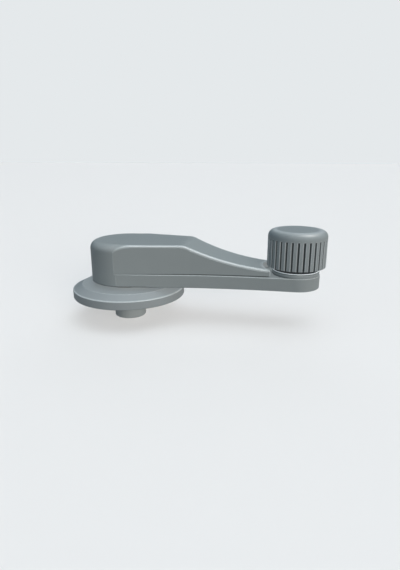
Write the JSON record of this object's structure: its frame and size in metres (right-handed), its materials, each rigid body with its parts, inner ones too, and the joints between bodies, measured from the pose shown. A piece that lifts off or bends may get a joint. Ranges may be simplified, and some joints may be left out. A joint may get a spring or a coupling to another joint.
{
  "type": "crank handle",
  "caption": "Window-winder crank: deep-hubbed arm falling to a free-turning fluted knob, over a dished rosette and a splined socket boss.",
  "frame": {"origin": "centre of the spindle socket's mouth", "axes": "+Z along the spindle axis from the mouth up into the arm, +X towards the knob"},
  "size_m": [0.1372, 0.0618, 0.0514],
  "materials": {
    "shell_grey": "satin moulded grey plastic, fine even texture",
    "knob_grey": "satin moulded grey plastic",
    "rosette_grey": "satin moulded grey plastic",
    "ring_grey": "satin moulded grey plastic, turned look",
    "boss_paint": "grey paint over steel, machined socket",
    "pressed_steel": "pressed, light oil",
    "plated_steel": "zinc plated",
    "spring_steel": "blackened spring steel",
    "nylon": "natural nylon",
    "bush_black": "black moulded plastic"
  },
  "bodies": {
    "arm": {"arm_base": "shell_grey", "arm_cover": "shell_grey", "arm_core": "pressed_steel", "spindle_boss": "boss_paint", "plain_washer": "plated_steel", "spring_washer": "spring_steel", "spindle_screw": "plated_steel", "thrust_washer": "nylon", "rosette_ring": "spring_steel", "knob_seat": "ring_grey", "knob_collar": "ring_grey", "knob_pin": "plated_steel", "pin_washer": "plated_steel", "dished_washer": "spring_steel", "top_washer": "plated_steel", "knob_clip": "spring_steel", "base_screw_1": "plated_steel", "base_screw_2": "plated_steel"},
    "knob": {"knob_core": "bush_black", "knob_shell": "knob_grey"},
    "rosette": {"rosette": "rosette_grey"}
  },
  "joints": [
    {"name": "knob_spin", "type": "hinge", "parent": "arm", "child": "knob", "pos_m": [0.0913, 0, 0.042], "axis": [0, 0, 1], "continuous": true},
    {"name": "rosette_spin", "type": "hinge", "parent": "arm", "child": "rosette", "pos_m": [0, 0, 0.0168], "axis": [0, 0, 1], "continuous": true}
  ]
}
